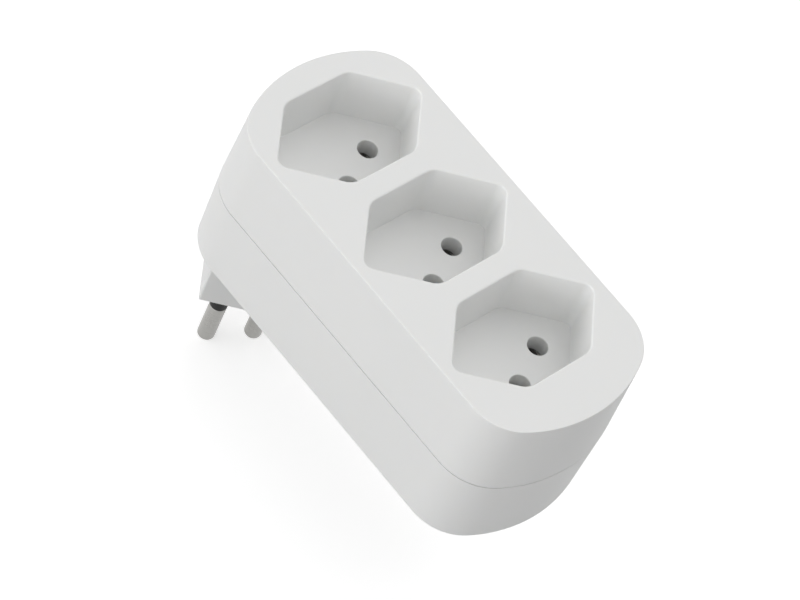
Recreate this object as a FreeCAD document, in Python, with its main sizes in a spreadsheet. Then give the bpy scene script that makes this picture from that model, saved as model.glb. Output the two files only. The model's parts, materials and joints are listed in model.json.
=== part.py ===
import FreeCAD, Part
import math
import os
import Sketcher

# Three way socket adapter with a three pin plug at the back of one end.
# +X runs along the body from the plug end to the free end, +Y across it, +Z out of the sockets.
# The origin lies midway between the two live pins on the face that the pins stand on.

SIZES = {
    # plug pins, and the holes that take such pins
    "pin_spacing": 19.0,
    "earth_offset": 5.0,
    "pin_diameter": 4.0,
    "pin_length": 19.0,
    "pin_tip_height": 1.0,
    "pin_tip_diameter": 2.2,
    "pin_root_diameter": 3.2,
    "pin_fit": 0.05,
    "sleeve_length": 6.6,
    "sleeve_fit": 0.02,
    "sleeve_end_taper": 0.25,
    "hole_clearance": 0.25,
    # six sided plug block behind the pins, as much smaller than a recess as a plug's body is
    "plug_clearance": 1.6,
    "plug_height": 19.4,
    "plug_corner_radius": 0.9,
    "plug_face_wall": 7.0,
    "plug_side_wall": 1.8,
    "plug_edge_bevel": 0.6,
    "hexagon_shift": 0.4,
    # row of sockets
    "socket_count": 3,
    "socket_pitch": 27.6,
    "plug_to_socket": 6.0,
    "recess_width": 22.2,
    "recess_reach": 39.4,
    "recess_depth": 13.8,
    "recess_corner_radius": 3.0,
    "recess_wall": 1.7,
    "recess_floor": 4.4,
    "lip_bevel": 0.4,
    # moulded body, measured at the parting plane out from the recesses and the plug block
    "side_land": 3.0,
    "plug_end_land": 2.6,
    "free_end_land": 12.5,
    "end_radius": 34.5,
    "end_corner_radius": 12.3,
    "front_depth": 20.0,
    "rear_depth": 20.0,
    "wall": 2.0,
    "draft_angle": 0.7,
    "top_edge_bevel": 1.0,
    "back_edge_bevel": 0.5,
    # walls that keep the three strips apart, and the ribs that carry the strips
    "partition_wall": 1.6,
    "rib_wall": 1.6,
    "rib_from_pins": 9.0,
    "rib_reach": 28.0,
    # strips and spring contacts
    "strip_width": 6.0,
    "strip_thickness": 1.2,
    "strip_height": 5.4,
    "strip_end": 4.0,
    "contact_wall": 0.6,
    "contact_clearance": 0.05,
    "contact_foot": 0.8,
    "contact_top_gap": 0.4,
    "contact_seam": 0.7,
    "contact_root": 4.0,
    "rivet_diameter": 2.4,
    "rivet_height": 0.5,
    "rivet_clearance": 0.05,
    # screws from the back, with their heads sunk in the rear wall
    "screw_spacing": 32.4,
    "screw_from_free_end": 7.0,
    "screw_boss_diameter": 6.0,
    "screw_diameter": 2.5,
    "screw_grip": 8.0,
    "screw_end_gap": 1.0,
    "screw_head_diameter": 4.8,
    "screw_head_height": 1.7,
    "screw_slot_width": 0.8,
    "screw_slot_depth": 0.8,
    "screw_fit": 0.05,
    "screw_clearance": 0.2,
    "screw_head_clearance": 0.3,
}

doc = FreeCAD.newDocument("socket_adapter")
sheet = doc.addObject("Spreadsheet::Sheet", "sizes")
for row, (alias, number) in enumerate(SIZES.items(), start=1):
    sheet.set(f"A{row}", alias)
    sheet.set(f"B{row}", str(number))
    sheet.setAlias(f"B{row}", alias)
doc.recompute()

# Heights above the pin face
BACK = "sizes.plug_height"
BACK_INSIDE = f"({BACK} + sizes.wall)"
PARTING = f"({BACK} + sizes.rear_depth)"
FRONT = f"({PARTING} + sizes.front_depth)"
INSIDE_FRONT = f"({FRONT} - sizes.wall)"
FLOOR = f"({FRONT} - sizes.recess_depth)"
FLOOR_BACK = f"({FLOOR} - sizes.recess_floor)"
STRIP_BACK = f"({BACK} + sizes.strip_height)"
STRIP_FRONT = f"({STRIP_BACK} + sizes.strip_thickness)"
CONTACT_TOP = f"({FLOOR_BACK} - sizes.contact_top_gap)"

# Widths: the body's from the reach of a recess, the plug block's from a recess and the plug's clearance
SKEW = "sqrt(2)"
HALF_BODY = "(sizes.recess_reach / 2 + sizes.side_land)"
PLUG_WIDTH = "(sizes.recess_width - 2 * sizes.plug_clearance)"
PLUG_REACH = f"(sizes.recess_reach - 2 * sizes.plug_clearance * {SKEW})"

# Places along the body
ROW = "((sizes.socket_count - 1) * sizes.socket_pitch)"
FIRST_RECESS = "(sizes.plug_to_socket - sizes.hexagon_shift)"
PLUG_MIDDLE = "(0 - sizes.hexagon_shift)"
PLUG_END = f"({PLUG_MIDDLE} - {PLUG_WIDTH} / 2 - sizes.plug_end_land)"
FREE_END = f"({FIRST_RECESS} + {ROW} + sizes.recess_width / 2 + sizes.free_end_land)"
SIDE_SCREW = "(sizes.plug_to_socket + sizes.socket_pitch / 2)"
END_SCREW = f"({FREE_END} - sizes.screw_from_free_end)"
FIRST_RIB = "(sizes.plug_to_socket + sizes.rib_from_pins)"
STRIP_TIP = f"({FIRST_RIB} + {ROW} + sizes.rib_wall / 2)"
RECESS_ROW_START = f"({FIRST_RECESS} - sizes.recess_width / 2)"
RECESS_ROW_END = f"({FIRST_RECESS} + {ROW} + sizes.recess_width / 2)"

# Radii
PIN_RADIUS = "(sizes.pin_diameter / 2)"
ROOT_RADIUS = "(sizes.pin_root_diameter / 2)"
PIN_SHOULDER = f"({PIN_RADIUS} - {ROOT_RADIUS})"
CONTACT_GAP = f"({PIN_RADIUS} + sizes.contact_clearance)"
CONTACT_HALF = f"({CONTACT_GAP} + sizes.contact_wall)"

# The poles: how far each lies across the body, and how far along it from the pin line
POLES = {
    "line": ("sizes.pin_spacing / 2", "0"),
    "neutral": ("-sizes.pin_spacing / 2", "0"),
    "earth": ("0", "sizes.earth_offset"),
}

# The screws: two in the first gap between sockets and one at the free end
SCREWS = [
    (SIDE_SCREW, "sizes.screw_spacing / 2"),
    (SIDE_SCREW, "-sizes.screw_spacing / 2"),
    (END_SCREW, "0"),
]
SOCKET_NUMBERS = range(1, SIZES["socket_count"] + 1)

# Two measures closer than this count as one, in mm
TOUCH = 1e-4
# An edge this many times as tall as it is wide counts as upright
STEEP = 4.0
# Where outlines are first drawn, before their formulas move them, in mm
POLYGON_START = FreeCAD.Vector(0, -10, 0)
CIRCLE_START = FreeCAD.Vector(5, 5, 0)
CIRCLE_START_RADIUS = 2.0
UP = FreeCAD.Vector(0, 0, 1)


def new_body(label):
    body = doc.addObject("PartDesign::Body", label)
    body.Label = label
    return body


def origin_part(body, role):
    return next(part for part in body.Origin.OriginFeatures if part.Role == role)


def new_sketch(body, name, offset="0", plane="XY_Plane"):
    """An empty sketch on one of the body's origin planes, moved out by offset."""
    sketch = body.newObject("Sketcher::SketchObject", name)
    sketch.AttachmentSupport = [(origin_part(body, plane), "")]
    sketch.MapMode = "FlatFace"
    sketch.setExpression("AttachmentOffset.Base.z", offset)
    return sketch


def fix_point(sketch, edge, end, across, up):
    """Holds one end of an edge at a place given by two formulas."""
    for kind, axis, formula in (("DistanceX", -2, across), ("DistanceY", -1, up)):
        if formula == "0":
            sketch.addConstraint(Sketcher.Constraint("PointOnObject", edge, end, axis))
            continue
        point = sketch.getPoint(edge, end)
        start = point.x if kind == "DistanceX" else point.y
        index = sketch.addConstraint(Sketcher.Constraint(kind, -1, 1, edge, end, start))
        sketch.setExpression(f"Constraints[{index}]", formula)


def draw_polygon(sketch, corners):
    """A closed outline of straight edges through corners given as pairs of formulas."""
    turn = FreeCAD.Rotation(UP, 360.0 / len(corners))
    start = POLYGON_START
    first = sketch.GeometryCount
    for _ in corners:
        following = turn.multVec(start)
        sketch.addGeometry(Part.LineSegment(start, following), False)
        start = following
    for number, (across, up) in enumerate(corners):
        edge = first + number
        after = first + (number + 1) % len(corners)
        sketch.addConstraint(Sketcher.Constraint("Coincident", edge, 2, after, 1))
        fix_point(sketch, edge, 1, across, up)


def draw_rectangle(sketch, left, right, low, high):
    draw_polygon(sketch, [(left, low), (right, low), (right, high), (left, high)])


def draw_hexagon(sketch, centre, width, reach):
    """Six sides: two flat ones across X, and 45 degree ones that meet in points at both ends in Y."""
    flat = f"(({reach}) - ({width})) / 2"
    draw_polygon(sketch, [
        (centre, f"-({reach}) / 2"),
        (f"{centre} + ({width}) / 2", f"-({flat})"),
        (f"{centre} + ({width}) / 2", flat),
        (centre, f"({reach}) / 2"),
        (f"{centre} - ({width}) / 2", flat),
        (f"{centre} - ({width}) / 2", f"-({flat})"),
    ])


def draw_circle(sketch, across, up, radius):
    edge = sketch.addGeometry(Part.Circle(CIRCLE_START, UP, CIRCLE_START_RADIUS), False)
    fix_point(sketch, edge, 3, across, up)
    index = sketch.addConstraint(Sketcher.Constraint("Radius", edge, CIRCLE_START_RADIUS))
    sketch.setExpression(f"Constraints[{index}]", radius)


def extrude(body, kind, name, sketch, length, reverse=False, taper=None):
    """A pad or a pocket as long as the formula says."""
    feature = body.newObject(f"PartDesign::{kind}", name)
    feature.Profile = sketch
    feature.setExpression("Length", length)
    feature.Reversed = reverse
    if taper:
        feature.setExpression("TaperAngle", taper)
    sketch.Visibility = False
    doc.recompute()
    return feature


def revolve(body, name, sketch):
    feature = body.newObject("PartDesign::Revolution", name)
    feature.Profile = sketch
    feature.ReferenceAxis = (sketch, ["V_Axis"])
    feature.Angle = 360.0
    doc.recompute()
    return feature


def repeat_along(body, name, originals, count, spacing):
    """Copies features along +X."""
    pattern = body.newObject("PartDesign::LinearPattern", name)
    pattern.Originals = originals
    pattern.Direction = (origin_part(body, "X_Axis"), [""])
    pattern.Mode = "Spacing"
    pattern.setExpression("Offset", spacing)
    pattern.setExpression("Occurrences", count)
    body.Tip = pattern
    doc.recompute()
    return pattern


def pick_edges(feature, test):
    return [f"Edge{number}" for number, edge in enumerate(feature.Shape.Edges, start=1) if test(edge)]


def dress(body, kind, name, feature, edges, prop, size):
    """A fillet or a chamfer on picked edges of the feature before it."""
    dressing = body.newObject(f"PartDesign::{kind}", name)
    dressing.Base = (feature, edges)
    dressing.setExpression(prop, size)
    doc.recompute()
    return dressing


def level(edge, height):
    """True for an edge that lies flat at this height."""
    box = edge.BoundBox
    return abs(box.ZMin - height) < TOUCH and abs(box.ZMax - height) < TOUCH


def upright(edge):
    """True for an edge that runs up, at most a little leaned by the draft."""
    box = edge.BoundBox
    return box.ZLength > STEEP * max(box.XLength, box.YLength)


def size(name):
    return float(sheet.get(name))


PARTING_HEIGHT = size("plug_height") + size("rear_depth")
FRONT_HEIGHT = PARTING_HEIGHT + size("front_depth")
FLOOR_HEIGHT = FRONT_HEIGHT - size("recess_depth")


def draw_body_outline(sketch, inset):
    """Long straight sides, one flat arc at each end and a rounder arc at each corner, all tangent."""
    inside = size(inset) if inset else 0.0
    half = size("recess_reach") / 2 + size("side_land") - inside
    radius = size("end_radius") - inside
    corner = size("end_corner_radius") - inside
    row = (size("socket_count") - 1) * size("socket_pitch")
    last_recess = size("plug_to_socket") - size("hexagon_shift") + row + size("recess_width") / 2
    plug_side = -size("hexagon_shift") - size("recess_width") / 2 + size("plug_clearance")
    centres = {1: last_recess + size("free_end_land") - size("end_radius"),
               -1: plug_side - size("plug_end_land") + size("end_radius")}
    along = math.sqrt((radius - corner) ** 2 - (half - corner) ** 2)
    lean = math.atan2(half - corner, along)

    def arc(across, height, arc_radius, start, end):
        circle = Part.Circle(FreeCAD.Vector(across, height, 0), UP, arc_radius)
        return Part.ArcOfCircle(circle, start, end)

    low, high = centres[-1] - along, centres[1] + along
    quarter = math.pi / 2
    sketch.addGeometry([
        Part.LineSegment(FreeCAD.Vector(low, -half, 0), FreeCAD.Vector(high, -half, 0)),
        arc(high, corner - half, corner, -quarter, -lean),
        arc(centres[1], 0, radius, -lean, lean),
        arc(high, half - corner, corner, lean, quarter),
        Part.LineSegment(FreeCAD.Vector(high, half, 0), FreeCAD.Vector(low, half, 0)),
        arc(low, half - corner, corner, quarter, 2 * quarter - lean),
        arc(centres[-1], 0, radius, 2 * quarter - lean, 2 * quarter + lean),
        arc(low, corner - half, corner, 2 * quarter + lean, 3 * quarter),
    ], False)
    for edge in range(8):
        sketch.addConstraint(Sketcher.Constraint("Tangent", edge, 2, (edge + 1) % 8, 1))
    sketch.addConstraint(Sketcher.Constraint("Horizontal", 0))
    sketch.addConstraint(Sketcher.Constraint("Horizontal", 4))
    less = f" - sizes.{inset}" if inset else ""
    for edge, place, formula in ((2, centres[1], f"{FREE_END} - sizes.end_radius"),
                                 (6, centres[-1], f"{PLUG_END} + sizes.end_radius")):
        sketch.addConstraint(Sketcher.Constraint("PointOnObject", edge, 3, -1))
        bind_size(sketch, ("DistanceX", -1, 1, edge, 3, place), formula)
        bind_size(sketch, ("Radius", edge, radius), f"sizes.end_radius{less}")
    for edge in (1, 3, 5, 7):
        bind_size(sketch, ("Radius", edge, corner), f"sizes.end_corner_radius{less}")
    bind_size(sketch, ("DistanceY", 0, 1, -1, 1, half), f"{HALF_BODY}{less}")
    bind_size(sketch, ("DistanceY", -1, 1, 4, 1, half), f"{HALF_BODY}{less}")


def bind_size(sketch, constraint, formula):
    """Adds a constraint with a size and ties that size to a formula."""
    index = sketch.addConstraint(Sketcher.Constraint(*constraint))
    sketch.setExpression(f"Constraints[{index}]", formula)


def open_shell(body, facing, edge_height, edge_size):
    """One half of the body: drafted walls with rounded corners, open at the parting plane."""
    name = body.Label
    depth = "sizes.front_depth" if facing == "front" else "sizes.rear_depth"
    outline = new_sketch(body, f"{name}_outline", PARTING)
    draw_body_outline(outline, None)
    block = extrude(body, "Pad", f"{name}_block", outline, depth, facing == "rear", "-sizes.draft_angle")
    rim = pick_edges(block, lambda edge: level(edge, edge_height))
    dress(body, "Chamfer", f"{name}_rim", block, rim, "Size", edge_size)
    inside = new_sketch(body, f"{name}_inside", PARTING)
    draw_body_outline(inside, "wall")
    extrude(body, "Pocket", f"{name}_hollow", inside, f"{depth} - sizes.wall", facing == "front")


def add_partitions(body, low, high):
    """Two long walls that keep the three strips and their contacts apart."""
    sketch = new_sketch(body, f"{body.Label}_partition_lines", low)
    near = "sizes.pin_spacing / 4 - sizes.partition_wall / 2"
    far = "sizes.pin_spacing / 4 + sizes.partition_wall / 2"
    draw_rectangle(sketch, RECESS_ROW_START, RECESS_ROW_END, near, far)
    draw_rectangle(sketch, RECESS_ROW_START, RECESS_ROW_END, f"-({far})", f"-({near})")
    extrude(body, "Pad", f"{body.Label}_partitions", sketch, f"{high} - {low}")


def at_screws(body, kind, name, low, high, radius):
    """Round pads or pockets at every screw."""
    sketch = new_sketch(body, f"{name}_circles", low)
    for along, across in SCREWS:
        draw_circle(sketch, along, across, radius)
    extrude(body, kind, name, sketch, f"{high} - {low}", kind == "Pocket")


def draw_pole_circles(sketch, pin_line, radius, poles=tuple(POLES)):
    for pole in poles:
        across, along = POLES[pole]
        draw_circle(sketch, f"{pin_line} + {along}", across, radius)


def make_front_shell():
    """The socket side: three six sided wells with drafted walls, each with three pin holes in its floor."""
    body = new_body("front_shell")
    open_shell(body, "front", FRONT_HEIGHT, "sizes.top_edge_bevel")
    at_screws(body, "Pad", "front_boss", PARTING, f"({INSIDE_FRONT} + sizes.wall / 2)",
              "sizes.screw_boss_diameter / 2")
    pilot_end = f"({PARTING} + sizes.screw_grip + sizes.screw_end_gap)"
    at_screws(body, "Pocket", "front_pilot", PARTING, pilot_end,
              "sizes.screw_diameter / 2 + sizes.screw_fit")

    well_lines = new_sketch(body, "well_lines", FLOOR_BACK)
    draw_hexagon(well_lines, FIRST_RECESS, "sizes.recess_width + 2 * sizes.recess_wall",
                 f"sizes.recess_reach + 2 * sizes.recess_wall * {SKEW}")
    well = extrude(body, "Pad", "well", well_lines, f"{INSIDE_FRONT} + sizes.wall / 2 - {FLOOR_BACK}")
    recess_lines = new_sketch(body, "recess_lines", FRONT)
    draw_hexagon(recess_lines, FIRST_RECESS, "sizes.recess_width", "sizes.recess_reach")
    recess = extrude(body, "Pocket", "recess", recess_lines, "sizes.recess_depth",
                     taper="-sizes.draft_angle")
    hole_circles = new_sketch(body, "pin_hole_circles", FRONT)
    draw_pole_circles(hole_circles, "sizes.plug_to_socket", f"{PIN_RADIUS} + sizes.hole_clearance")
    holes = extrude(body, "Pocket", "pin_holes", hole_circles,
                    "sizes.recess_depth + 2 * sizes.recess_floor")
    sockets = repeat_along(body, "sockets", [well, recess, holes],
                           "sizes.socket_count", "sizes.socket_pitch")

    def recess_corner(edge):
        box = edge.BoundBox
        from_floor = abs(box.ZMin - FLOOR_HEIGHT) < TOUCH
        return upright(edge) and from_floor and abs(box.ZMax - FRONT_HEIGHT) < TOUCH

    rounded = dress(body, "Fillet", "recess_corners", sockets, pick_edges(sockets, recess_corner),
                    "Radius", "sizes.recess_corner_radius")
    half_width, half_reach = size("recess_width") / 2, size("recess_reach") / 2
    first = size("plug_to_socket") - size("hexagon_shift")
    centres = [first + number * size("socket_pitch") for number in range(len(SOCKET_NUMBERS))]

    def mouth(edge):
        spot = edge.BoundBox.Center
        inside = any(abs(spot.x - centre) < half_width + TOUCH for centre in centres)
        return level(edge, FRONT_HEIGHT) and inside and abs(spot.y) < half_reach

    dress(body, "Chamfer", "lips", rounded, pick_edges(rounded, mouth), "Size", "sizes.lip_bevel")
    add_partitions(body, PARTING, f"({FLOOR_BACK} + sizes.recess_floor / 4)")
    return body


def make_rear_shell():
    """The plug side: a shallow tray with the plug block below it, ribs under the strips and screw posts."""
    body = new_body("rear_shell")
    open_shell(body, "rear", size("plug_height"), "sizes.back_edge_bevel")
    block_lines = new_sketch(body, "plug_block_lines", BACK)
    draw_hexagon(block_lines, PLUG_MIDDLE, PLUG_WIDTH, PLUG_REACH)
    block = extrude(body, "Pad", "plug_block", block_lines, "sizes.plug_height", True, "-sizes.draft_angle")

    def block_corner(edge):
        box = edge.BoundBox
        return upright(edge) and box.ZMin < TOUCH

    corners = dress(body, "Fillet", "plug_block_corners", block, pick_edges(block, block_corner),
                    "Radius", "sizes.plug_corner_radius")
    face = pick_edges(corners, lambda edge: level(edge, 0.0))
    dress(body, "Chamfer", "plug_face_edge", corners, face, "Size", "sizes.plug_edge_bevel")

    hollow_lines = new_sketch(body, "plug_hollow_lines", BACK_INSIDE)
    draw_hexagon(hollow_lines, PLUG_MIDDLE, f"{PLUG_WIDTH} - 2 * sizes.plug_side_wall",
                 f"{PLUG_REACH} - 2 * sizes.plug_side_wall * {SKEW}")
    extrude(body, "Pocket", "plug_hollow", hollow_lines, f"{BACK_INSIDE} - sizes.plug_face_wall",
            taper="-sizes.draft_angle")
    pin_circles = new_sketch(body, "plug_pin_circles")
    draw_pole_circles(pin_circles, "0", f"{ROOT_RADIUS} + sizes.pin_fit")
    pin_holes = extrude(body, "Pocket", "plug_pin_holes", pin_circles, f"2 * {BACK_INSIDE}", True)
    mouths = pick_edges(pin_holes, lambda edge: level(edge, 0.0) and edge.isClosed())
    dress(body, "Chamfer", "plug_pin_seats", pin_holes, mouths, "Size", PIN_SHOULDER)

    middle = f"({BACK_INSIDE} - sizes.wall / 2)"
    rib_lines = new_sketch(body, "rib_lines", middle)
    draw_rectangle(rib_lines, f"{FIRST_RIB} - sizes.rib_wall / 2", f"{FIRST_RIB} + sizes.rib_wall / 2",
                   "-sizes.rib_reach / 2", "sizes.rib_reach / 2")
    rib = extrude(body, "Pad", "rib", rib_lines, f"{STRIP_BACK} - {middle}")
    repeat_along(body, "ribs", [rib], "sizes.socket_count", "sizes.socket_pitch")
    add_partitions(body, BACK_INSIDE, PARTING)
    at_screws(body, "Pad", "rear_boss", middle, PARTING, "sizes.screw_boss_diameter / 2")
    at_screws(body, "Pocket", "rear_screw_hole", BACK, PARTING,
              "sizes.screw_diameter / 2 + sizes.screw_clearance")
    at_screws(body, "Pocket", "rear_counterbore", BACK, BACK_INSIDE,
              "sizes.screw_head_diameter / 2 + sizes.screw_head_clearance")
    return body


def revolved_body(label, outline):
    """A turned piece: its half outline lies in the XZ plane and runs round the Z axis."""
    body = new_body(label)
    sketch = new_sketch(body, f"{label}_outline", plane="XZ_Plane")
    draw_polygon(sketch, outline)
    revolve(body, f"{label}_turned", sketch)
    return body


def place(piece, across="0", up="0", along="0"):
    for axis, formula in (("x", along), ("y", across), ("z", up)):
        piece.setExpression(f"Placement.Base.{axis}", formula)


def make_pin(pole):
    """A round plug pin with a blunt tip. Its thinner root carries the strip and ends in a rivet.

    A live pin steps down where its sleeve starts, the earth pin in a cone in the plug face's seat.
    """
    across, along = POLES[pole]
    wide_end = root_start = "-sizes.sleeve_length"
    if pole == "earth":
        wide_end, root_start = "0", PIN_SHOULDER
    tip = "-sizes.pin_length"
    rivet = "sizes.rivet_diameter / 2"
    rivet_top = f"{STRIP_FRONT} + sizes.rivet_height"
    body = revolved_body(f"{pole}_pin", [
        ("0", tip), ("sizes.pin_tip_diameter / 2", tip), (PIN_RADIUS, f"{tip} + sizes.pin_tip_height"),
        (PIN_RADIUS, wide_end), (ROOT_RADIUS, root_start), (ROOT_RADIUS, STRIP_BACK),
        (rivet, STRIP_BACK), (rivet, rivet_top), ("0", rivet_top)])
    place(body, across, along=along)
    return body


def make_sleeve(pole):
    """The insulation on a live pin, flush with the bare metal, with a cone in the plug face's seat."""
    across, along = POLES[pole]
    bore = f"{ROOT_RADIUS} + sizes.sleeve_fit"
    low, high = "-sizes.sleeve_length", "sizes.sleeve_end_taper"
    body = revolved_body(f"{pole}_pin_sleeve", [
        (bore, low), (PIN_RADIUS, low), (PIN_RADIUS, "0"), (f"{PIN_RADIUS} - {high}", high), (bore, high)])
    place(body, across, along=along)
    return body


def make_strip(pole):
    """A flat strip from a pin to the last contact of its pole, with a hole for the pin's rivet."""
    across, along = POLES[pole]
    body = new_body(f"{pole}_strip")
    lines = new_sketch(body, f"{pole}_strip_lines")
    draw_rectangle(lines, f"{along} - sizes.strip_end", STRIP_TIP,
                   "-sizes.strip_width / 2", "sizes.strip_width / 2")
    extrude(body, "Pad", f"{pole}_strip_flat", lines, "sizes.strip_thickness")
    circle = new_sketch(body, f"{pole}_rivet_circle")
    draw_circle(circle, along, "0", "sizes.rivet_diameter / 2 + sizes.rivet_clearance")
    extrude(body, "Pocket", f"{pole}_rivet_hole", circle, "2 * sizes.strip_thickness", True)
    place(body, across, STRIP_BACK)
    return body


def make_contact(pole, number):
    """A square tube folded from sheet, open along one seam, that stands on its strip under a pin hole."""
    across, along = POLES[pole]
    label = f"{pole}_contact_{number}"
    height = f"({CONTACT_TOP} - {STRIP_FRONT})"
    body = new_body(label)
    for name, half, tall in (("foot", f"({CONTACT_HALF} + sizes.contact_foot)", "sizes.contact_wall"),
                             ("tube", CONTACT_HALF, height)):
        lines = new_sketch(body, f"{label}_{name}_lines")
        draw_rectangle(lines, f"-{half}", half, f"-{half}", half)
        extrude(body, "Pad", f"{label}_{name}", lines, tall)
    inside = new_sketch(body, f"{label}_inside_lines")
    draw_rectangle(inside, f"-{CONTACT_GAP}", CONTACT_GAP, f"-{CONTACT_GAP}", CONTACT_GAP)
    extrude(body, "Pocket", f"{label}_inside", inside, height, True)
    seam = new_sketch(body, f"{label}_seam_lines", "sizes.contact_root")
    draw_rectangle(seam, "0", f"2 * {CONTACT_HALF}", "-sizes.contact_seam / 2", "sizes.contact_seam / 2")
    extrude(body, "Pocket", f"{label}_seam", seam, height, True)
    place(body, across, STRIP_FRONT, f"sizes.plug_to_socket + {along} + {number - 1} * sizes.socket_pitch")
    return body


def make_cylinder(name, radius, height, across, up, along):
    cylinder = doc.addObject("Part::Cylinder", name)
    cylinder.setExpression("Radius", radius)
    cylinder.setExpression("Height", height)
    place(cylinder, across, up, along)
    return cylinder


def make_screw(name, across, along):
    """One screw: a round slotted head sunk in the rear wall and a shank that ends in the front shell."""
    head_radius = "(sizes.screw_head_diameter / 2)"
    head_back = f"{BACK_INSIDE} - sizes.screw_head_height"
    head = make_cylinder(f"{name}_head", head_radius, "sizes.screw_head_height", across, head_back, along)
    shank = make_cylinder(f"{name}_shank", "sizes.screw_diameter / 2",
                          f"{PARTING} + sizes.screw_grip - {BACK_INSIDE}", across, BACK_INSIDE, along)
    blank = doc.addObject("Part::MultiFuse", f"{name}_blank")
    blank.Shapes = [head, shank]
    slot = doc.addObject("Part::Box", f"{name}_slot")
    slot.setExpression("Length", "sizes.screw_head_diameter")
    slot.setExpression("Width", "sizes.screw_slot_width")
    slot.setExpression("Height", "sizes.screw_slot_depth")
    place(slot, f"{across} - sizes.screw_slot_width / 2", head_back, f"{along} - {head_radius}")
    screw = doc.addObject("Part::Cut", name)
    screw.Base = blank
    screw.Tool = slot
    return screw


def make_screws():
    screws = doc.addObject("Part::Compound", "housing_screws")
    screws.Label = "housing_screws"
    screws.Links = [make_screw(f"screw_{number}", across, along)
                    for number, (along, across) in enumerate(SCREWS, start=1)]
    return screws


def make_all():
    pieces = [make_front_shell(), make_rear_shell()]
    for pole in POLES:
        pieces.append(make_pin(pole))
        if pole != "earth":
            pieces.append(make_sleeve(pole))
        pieces.append(make_strip(pole))
        pieces.extend(make_contact(pole, number) for number in SOCKET_NUMBERS)
    pieces.append(make_screws())
    doc.recompute()
    return pieces


def check_model(pieces):
    for thing in doc.Objects:
        if {"Invalid", "Error"} & set(thing.State):
            raise RuntimeError(f"{thing.Label} failed: {thing.State}")
    for piece in pieces:
        if piece.Shape.isNull() or not piece.Shape.isValid():
            raise RuntimeError(f"{piece.Label} has no valid shape")
        if len(piece.Shape.Solids) != (len(SCREWS) if piece.Label == "housing_screws" else 1):
            raise RuntimeError(f"{piece.Label} has {len(piece.Shape.Solids)} solids")


def write_steps(pieces):
    os.makedirs("parts", exist_ok=True)
    for piece in pieces:
        piece.Shape.exportStep(f"parts/{piece.Label}.step")
        print(f"{piece.Label}: {len(piece.Shape.Solids)} solid(s), {piece.Shape.Volume:.1f} mm3")


made = make_all()
check_model(made)
write_steps(made)
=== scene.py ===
import json
import math

import bmesh
import bpy
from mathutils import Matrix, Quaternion, Vector


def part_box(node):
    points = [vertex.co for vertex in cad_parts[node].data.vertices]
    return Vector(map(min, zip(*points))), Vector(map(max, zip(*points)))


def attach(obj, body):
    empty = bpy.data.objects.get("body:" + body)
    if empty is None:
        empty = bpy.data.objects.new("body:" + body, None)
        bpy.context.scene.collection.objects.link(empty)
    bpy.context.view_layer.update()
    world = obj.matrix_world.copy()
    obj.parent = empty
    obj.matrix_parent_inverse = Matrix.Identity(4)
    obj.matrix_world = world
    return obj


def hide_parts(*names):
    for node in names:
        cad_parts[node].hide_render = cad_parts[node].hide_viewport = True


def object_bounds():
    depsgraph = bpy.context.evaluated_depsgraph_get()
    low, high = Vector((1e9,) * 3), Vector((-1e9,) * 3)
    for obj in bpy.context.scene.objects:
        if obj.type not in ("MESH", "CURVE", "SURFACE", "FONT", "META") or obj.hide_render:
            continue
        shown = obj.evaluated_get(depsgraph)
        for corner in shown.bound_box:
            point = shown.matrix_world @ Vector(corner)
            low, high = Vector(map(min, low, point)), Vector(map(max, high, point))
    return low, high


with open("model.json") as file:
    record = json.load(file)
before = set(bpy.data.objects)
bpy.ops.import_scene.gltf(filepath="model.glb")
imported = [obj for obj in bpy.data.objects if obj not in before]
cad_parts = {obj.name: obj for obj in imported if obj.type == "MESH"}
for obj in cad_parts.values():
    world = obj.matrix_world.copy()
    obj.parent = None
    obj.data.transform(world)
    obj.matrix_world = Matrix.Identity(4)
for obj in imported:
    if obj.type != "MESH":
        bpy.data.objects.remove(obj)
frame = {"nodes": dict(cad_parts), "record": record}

bl_info = {
    "name": "Socket adapter looks",
    "version": (1, 0, 0),
    "blender": (4, 5, 0),
    "location": "View3D > Sidebar > Adapter",
    "description": "Moulded housings, plated pins and a plain studio for a three way socket adapter",
    "category": "Object",
}

MM = 0.001
BODY = "root"
CAD_LOW, CAD_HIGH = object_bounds()

# Places that the solid model states: holes and pins by their mounts, recesses by their openings
MOUNTS = {mount["name"]: mount for mount in frame["record"]["mounts"]}
OPENINGS = {opening["name"]: opening["box_m"] for opening in frame["record"]["physics"]["openings"]}
RECESSES = ("first", "middle", "last")
POLES = ("line", "neutral", "earth")
FRONT_LOW, FRONT_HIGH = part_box("front_shell")
REAR_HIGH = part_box("rear_shell")[1]
SCREWS_LOW, SCREWS_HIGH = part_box("housing_screws")
STRIP_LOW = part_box("line_strip")[0]
SLEEVE_LOW, SLEEVE_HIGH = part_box("line_pin_sleeve")
PLUG_FACE = 0.0
# An opening's box starts this far above the floor of its recess
OPENING_GAP = 0.1 * MM
# Corners closer than this are one corner, and faces that meet at more than the angle have a sharp edge
MERGE_DISTANCE = 0.0002 * MM
SHARP_ANGLE = math.radians(50)

# How finely curves are drawn, in steps: arcs and corners of the body, its straight sides, corners of the
# six sided forms, full circles, edges' rounds, half a screw's head and a pin's tip
END_ARC_STEPS = 28
BODY_CORNER_STEPS = 18
SIDE_STEPS = 12
CORNER_STEPS = 10
CIRCLE_STEPS = 56
EDGE_STEPS = 6
HEAD_STEPS = 20
DOME_STEPS = 10

# The camera, fitted to the photograph: its lens and sensor in mm, its place, its turn and what it clips
CAMERA_LENS = 155.007
CAMERA_SENSOR = 36.0
CAMERA_PLACE = Vector((231.276, -386.712, 590.402)) * MM
CAMERA_TURN = Quaternion((0.8402624, 0.3248341, -0.0014155, 0.4340967))
CAMERA_CLIP = (0.01, 20.0)

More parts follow.
